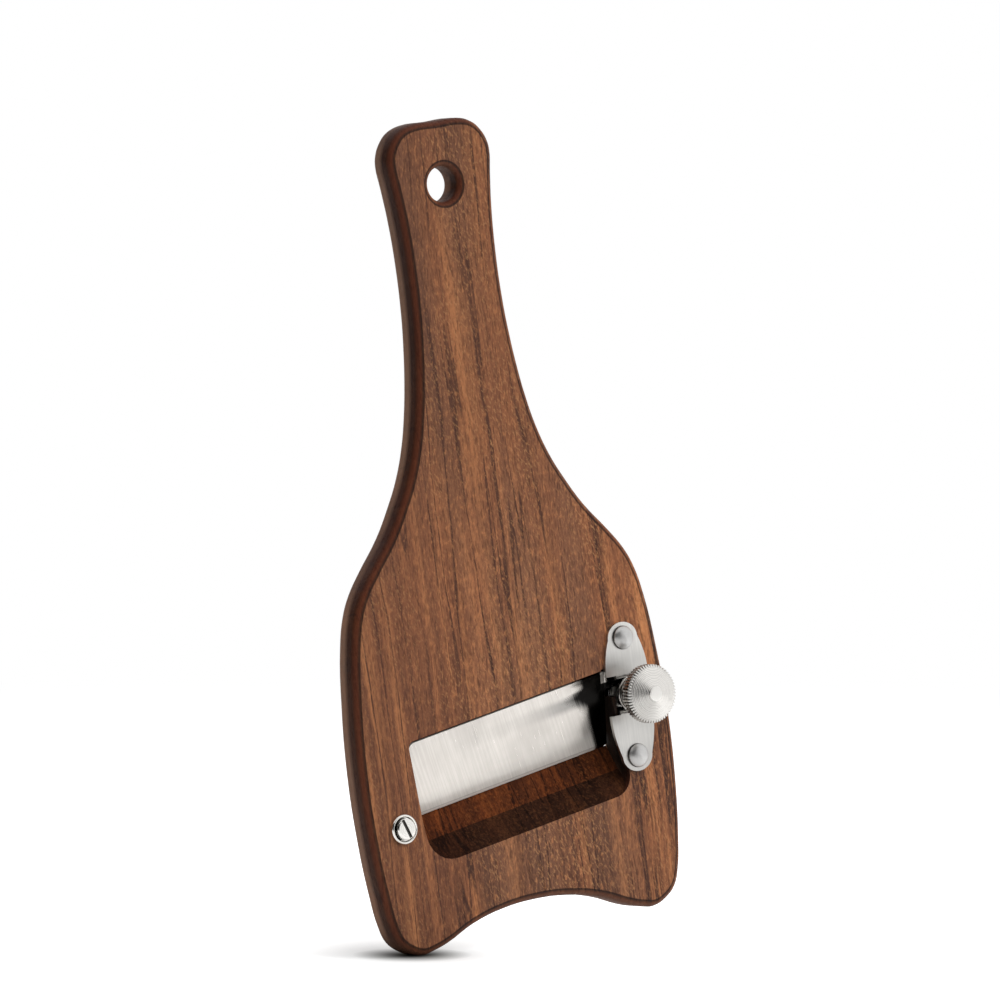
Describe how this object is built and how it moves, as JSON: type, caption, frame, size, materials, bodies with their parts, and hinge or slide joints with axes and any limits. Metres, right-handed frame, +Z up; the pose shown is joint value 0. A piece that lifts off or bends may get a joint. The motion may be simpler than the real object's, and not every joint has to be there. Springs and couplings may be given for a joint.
{
  "type": "truffle slicer",
  "caption": "Hardwood paddle slicer for truffles: a steel blade clamped across a leaning throat, and a knurled knob on a riveted bracket that sets the slice thickness.",
  "frame": {"origin": "centre of the hanging hole, half way through the paddle's thickness", "axes": "+Z up the paddle from its feet to its handle, +Y from the front face to the back face, +X to the right seen from the front, where the knob is"},
  "size_m": [0.0968, 0.0211, 0.2099],
  "materials": {
    "wood": "oiled reddish-brown hardwood, satin",
    "blade_steel": "bright brushed spring steel",
    "sheet_steel": "satin stamped sheet",
    "turned_steel": "turned and polished",
    "plain_steel": "plain, unpolished"
  },
  "bodies": {
    "paddle": {"paddle_board": "wood", "bracket": "sheet_steel", "rivet_upper": "turned_steel", "rivet_lower": "turned_steel", "rivet_burr_upper": "plain_steel", "rivet_burr_lower": "plain_steel", "clamp_screw": "turned_steel", "cup_washer": "turned_steel", "clamp_washer": "plain_steel", "clamp_nut": "plain_steel"},
    "carriage": {"hub_washer": "turned_steel", "retaining_ring": "turned_steel"},
    "knob": {"knob_head": "turned_steel", "spindle": "turned_steel"},
    "blade": {"blade": "blade_steel"}
  },
  "joints": [
    {"name": "spindle_travel", "type": "slide", "parent": "paddle", "child": "carriage", "axis": [0, 1, 0], "range_m": [-0.00035, 0.00105]},
    {"name": "knob_turn", "type": "hinge", "parent": "carriage", "child": "knob", "pos_m": [0.0358, 0, -0.1376], "axis": [0, 1, 0], "range_deg": [-181, 541]},
    {"name": "blade_tilt", "type": "hinge", "parent": "paddle", "child": "blade", "pos_m": [-0.03747, -0.00059, -0.14972], "axis": [-0.1374, 0, 0.9905], "range_deg": [-0.35, 0.9]}
  ],
  "couplings": [
    {"joint": "knob_turn", "follows": "spindle_travel", "rad_per_m": 8976},
    {"joint": "blade_tilt", "follows": "spindle_travel", "rad_per_m": 13.47}
  ]
}
